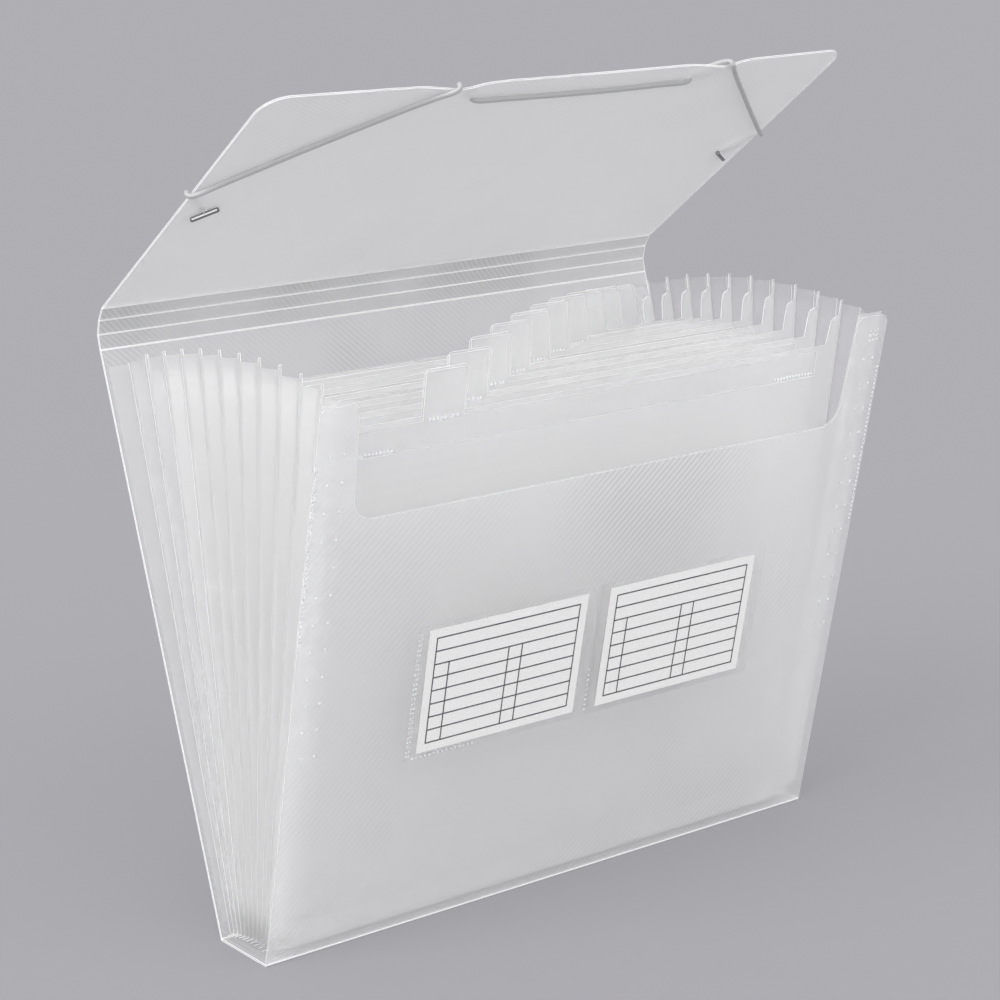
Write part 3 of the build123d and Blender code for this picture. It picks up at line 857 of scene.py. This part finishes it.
# %% [markdown]
# ## Weld dots
# The films are joined with a hot pin: each weld is a small dimple, shown as a near-white dot with a
# faint painted glow. A recipe resamples short guide lines at the weld's pitch and sets a low
# eight-sided dot on every point, turned to face the sheet, with a seeded change of size so that no
# two look stamped.

# %% Recipe: dots along lines
dot_recipe, dot_in, dot_out = new_recipe(
    "dots_along_lines",
    ("Pitch", "NodeSocketFloat", 2.2 * MM),
    ("Width", "NodeSocketFloat", 1.0 * MM),
    ("Height", "NodeSocketFloat", 0.1 * MM),
    ("Turn", "NodeSocketVector", (0.0, 0.0, 0.0)),
    ("Seed", "NodeSocketInt", 3),
    ("Finish", "NodeSocketMaterial", None),
)
guide = dot_recipe.nodes.new("GeometryNodeMeshToCurve")
spaced = add_node(dot_recipe, "GeometryNodeResampleCurve", mode="LENGTH")
dot = dot_recipe.nodes.new("GeometryNodeMeshCone")
dot.inputs["Vertices"].default_value = 8
half = add_node(dot_recipe, "ShaderNodeMath", operation="MULTIPLY")
half.inputs[1].default_value = 0.5
small = add_node(dot_recipe, "ShaderNodeMath", operation="MULTIPLY")
small.inputs[1].default_value = 0.28
placed = dot_recipe.nodes.new("GeometryNodeInstanceOnPoints")
varied = add_node(dot_recipe, "FunctionNodeRandomValue", data_type="FLOAT")
varied.inputs[2].default_value = 0.85
varied.inputs[3].default_value = 1.15
link = dot_recipe.links.new
link(dot_in.outputs["Geometry"], guide.inputs["Mesh"])
link(guide.outputs["Curve"], spaced.inputs["Curve"])
link(dot_in.outputs["Pitch"], spaced.inputs["Length"])
link(dot_in.outputs["Width"], half.inputs[0])
link(dot_in.outputs["Width"], small.inputs[0])
link(half.outputs["Value"], dot.inputs["Radius Bottom"])
link(small.outputs["Value"], dot.inputs["Radius Top"])
link(dot_in.outputs["Height"], dot.inputs["Depth"])
link(spaced.outputs["Curve"], placed.inputs["Points"])
link(dot.outputs["Mesh"], placed.inputs["Instance"])
link(dot_in.outputs["Turn"], placed.inputs["Rotation"])
link(dot_in.outputs["Seed"], varied.inputs["Seed"])
link(varied.outputs[1], placed.inputs["Scale"])
close_recipe(dot_recipe, placed.outputs["Instances"], dot_in, dot_out)
print("dot recipe", len(dot_recipe.nodes), "nodes")


# %% Welds on the front panel
DOT_HEIGHT = 0.12
SLEEVE_FACE, STRIP_FACE = 0.86, 0.28  # in front of their sheet's middle


def weld_rows(name, body, fold, lean, forward, rows, pitch, width, seed):
    """Rows of dots on a sheet; each row is two (x, up) ends."""
    runs = [[on_sheet(fold, lean, x, up, forward) for x, up in row] for row in rows]
    welds = add_piece(name, line_mesh(name, runs))
    turn = (radians(90.0 - lean), 0.0, 0.0)
    sizes = {"Pitch": pitch * MM, "Width": width * MM, "Height": DOT_HEIGHT * MM}
    grow(welds, dot_recipe, {**sizes, "Turn": turn, "Seed": seed, "Finish": weld_glow_finish})
    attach(welds, body)
    return welds


def front_welds(name, forward, rows, pitch, width, seed):
    """Rows of dots on the front panel or on its sleeves."""
    return weld_rows(name, "front", FRONT_FOLD, FRONT_LEAN, forward, rows, pitch, width, seed)


columns = [((x, 104.0), (x, 247.0)) for x in (-158.0, -150.4, 153.4, 159.5)]
front_welds("weld_columns", COVER_HALF, columns, 13.0, 1.5, 5)
side_seams = [((x, 161.0), (x, 242.0)) for x in (-164.0, 164.0)]
front_welds("weld_seam", COVER_HALF, side_seams, 2.2, 1.1, 7)
sleeve_seams = [((x, 91.0), (x, 152.0)) for x in (-99.7, -98.3)]
sleeve_seams += [((4.0, 91.0), (4.0, 112.0)), ((-96.0, 89.2), (-62.0, 89.2))]
front_welds("weld_sleeves", SLEEVE_FACE, sleeve_seams, 2.4, 1.0, 11)
ear_cluster = [((155.0, up), (160.0, up)) for up in (256.5, 259.0, 261.5)]
front_welds("weld_ear", COVER_HALF, ear_cluster, 2.5, 1.4, 13)
print("front welds ready")

# %% Welds on the index strips
TAB_WELD_UP, TAB_WELD_HALF = 243.6, 7.5
STRIP_WELD_UP, STRIP_WELD_LONG, STRIP_WELD_STARTS = 232.6, 24.0, (-137.0, 113.0)
for k in range(1, POCKETS):
    middle = TAB_FIRST + (POCKETS - 0.5 - k) * TAB_WIDTH
    rows = [((middle - TAB_WELD_HALF, TAB_WELD_UP), (middle + TAB_WELD_HALF, TAB_WELD_UP))]
    for start in STRIP_WELD_STARTS:
        rows.append(((start, STRIP_WELD_UP), (start + STRIP_WELD_LONG, STRIP_WELD_UP)))
    name, body = f"weld_strip_{k:02d}", f"divider_{k:02d}"
    weld_rows(name, body, sheet_folds[k], sheet_leans[k], STRIP_FACE, rows, 2.0, 1.4, 20 + k)
print("strip welds", POCKETS - 1)

# %% [markdown]
# ## Label cards
# Two off-white paper cards sit in the clear sleeves, printed with a plain ruled table: eight rows,
# the lower six split by three upright lines. The lines are drawn by the finish on the card's own UV
# map, where 0 to 1 spans the printed frame, so they stay sharp and straight.

# %% Ruled paper finish
PAPER_WHITE, PRINT_GREY = (0.96, 0.96, 0.945), (0.035, 0.035, 0.04)
FRAME_WIDE, FRAME_TALL, FRAME_ROWS = 82.0, 53.0, 8
SPLIT_TOP = 0.75  # the upright lines stop here
INK = 0.36  # half a line's width, in mm
paper, paper_shader, paper_tree = finish_base("ruled_paper", PAPER_WHITE, 0.75)


def calc(operation, first, second):
    """A Math node in the paper's tree; a number or a socket on each side."""
    node = add_node(paper_tree, "ShaderNodeMath", operation=operation)
    for socket, value in zip(node.inputs, (first, second)):
        if isinstance(value, (int, float)):
            socket.default_value = value
        else:
            paper_tree.links.new(value, socket)
    return node.outputs["Value"]


card_uv = add_node(paper_tree, "ShaderNodeUVMap", uv_map="UVMap")
split = add_node(paper_tree, "ShaderNodeSeparateXYZ")
paper_tree.links.new(card_uv.outputs["UV"], split.inputs["Vector"])
across, height = split.outputs["X"], split.outputs["Y"]
row_gap = calc("PINGPONG", calc("MULTIPLY", height, FRAME_ROWS), 0.5)
rows_ink = calc("LESS_THAN", row_gap, INK * FRAME_ROWS / FRAME_TALL)
column_ink = None
for share in (0.10, 0.515, 0.61):
    near = calc("COMPARE", across, share)
    near.node.inputs[2].default_value = INK / FRAME_WIDE
    column_ink = near if column_ink is None else calc("MAXIMUM", column_ink, near)
column_ink = calc("MULTIPLY", column_ink, calc("LESS_THAN", height, SPLIT_TOP))
for share in (0.0, 1.0):
    near = calc("COMPARE", across, share)
    near.node.inputs[2].default_value = INK / FRAME_WIDE
    column_ink = calc("MAXIMUM", column_ink, near)
inside_x = calc("COMPARE", across, 0.5)
inside_x.node.inputs[2].default_value = 0.5 + INK / FRAME_WIDE
inside_y = calc("COMPARE", height, 0.5)
inside_y.node.inputs[2].default_value = 0.5 + INK / FRAME_TALL
lines_ink = calc("MAXIMUM", rows_ink, column_ink)
ink = calc("MULTIPLY", lines_ink, calc("MULTIPLY", inside_x, inside_y))
tint = add_node(paper_tree, "ShaderNodeMix", data_type="RGBA")
tint.inputs[6].default_value = (*PAPER_WHITE, 1.0)
tint.inputs[7].default_value = (*PRINT_GREY, 1.0)
paper_tree.links.new(ink, tint.inputs[0])
paper_tree.links.new(tint.outputs[2], paper_shader.inputs["Base Color"])
fibre_place = add_node(paper_tree, "ShaderNodeTexCoord")
fibre = add_node(paper_tree, "ShaderNodeTexNoise")
fibre.inputs["Scale"].default_value = 1500.0
paper_tree.links.new(fibre_place.outputs["Object"], fibre.inputs["Vector"])
fibre_bump = add_node(paper_tree, "ShaderNodeBump")
fibre_bump.inputs["Distance"].default_value = 0.006 * MM
paper_tree.links.new(fibre.outputs["Fac"], fibre_bump.inputs["Height"])
paper_tree.links.new(fibre_bump.outputs["Normal"], paper_shader.inputs["Normal"])
print("paper nodes", len(paper_tree.nodes))

# %% Card pieces
CARD_HALF, CARD_FOOT, CARD_TOP, FRAME_MIDDLE = 45.5, 91.0, 153.0, 122.0
CARD_FRONT, CARD_BACK = 0.62, 0.44  # in front of the panel's middle
CARDS_MIDDLE, CARD_STEP = 4.0, 52.3
UNPRINTED = (-0.5, -0.5)  # outside the printed frame
corners = [(-CARD_HALF, CARD_FOOT), (CARD_HALF, CARD_FOOT)]
corners += [(CARD_HALF, CARD_TOP), (-CARD_HALF, CARD_TOP)]
for side, side_name in SIDES:
    middle = CARDS_MIDDLE + side * CARD_STEP
    made = bmesh.new()
    uv = made.loops.layers.uv.new("UVMap")
    for forward, order in ((CARD_FRONT, 1), (CARD_BACK, -1)):
        places = [on_sheet(FRONT_FOLD, FRONT_LEAN, middle + x, up, forward) for x, up in corners]
        rim_of = [made.verts.new(place) for place in places]
        face = made.faces.new(rim_of[::order])
        for loop in face.loops:
            x, up = corners[rim_of.index(loop.vert)]
            printed = (x / FRAME_WIDE + 0.5, (up - FRAME_MIDDLE) / FRAME_TALL + 0.5)
            loop[uv].uv = printed if order == 1 else UNPRINTED
    made.verts.ensure_lookup_table()
    for i in range(4):
        j = (i + 1) % 4
        face = made.faces.new([made.verts[j], made.verts[i], made.verts[4 + i], made.verts[4 + j]])
        for loop in face.loops:
            loop[uv].uv = UNPRINTED
    bmesh.ops.recalc_face_normals(made, faces=made.faces)
    card_mesh = bpy.data.meshes.new("card")
    made.to_mesh(card_mesh)
    made.free()
    card = add_piece("ruled_card_" + side_name, card_mesh, paper)
    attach(card, "front")
    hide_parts("label_card_" + side_name)
print("cards ready")

# %% [markdown]
# ## Finish on the kept sheets
# The remaining CAD sheets have the right shape, so they only get their finish: the cover's frosted
# sheets, the spine strips in a deeper grey that is painted shade, the clear sleeves and the thin
# films of the bellows. Nodes that a piece above stands for are hidden, so it doesn't matter what
# they get.

# %% Dress the CAD sheets
sheet_finishes = {
    "front_panel": front_finish,
    "back_panel": back_finish,
    "base_strip": back_finish,
    "spine_strip": spine_shade_finish,
    "label_sleeve": sleeve_finish,
    "index_sleeve": tab_finish,
}
for name, node in nodes.items():
    matching = [finish for start, finish in sheet_finishes.items() if name.startswith(start)]
    node.data.materials.clear()
    node.data.materials.append(matching[0] if matching else divider_finish)
print("dressed", len(nodes), "sheets")
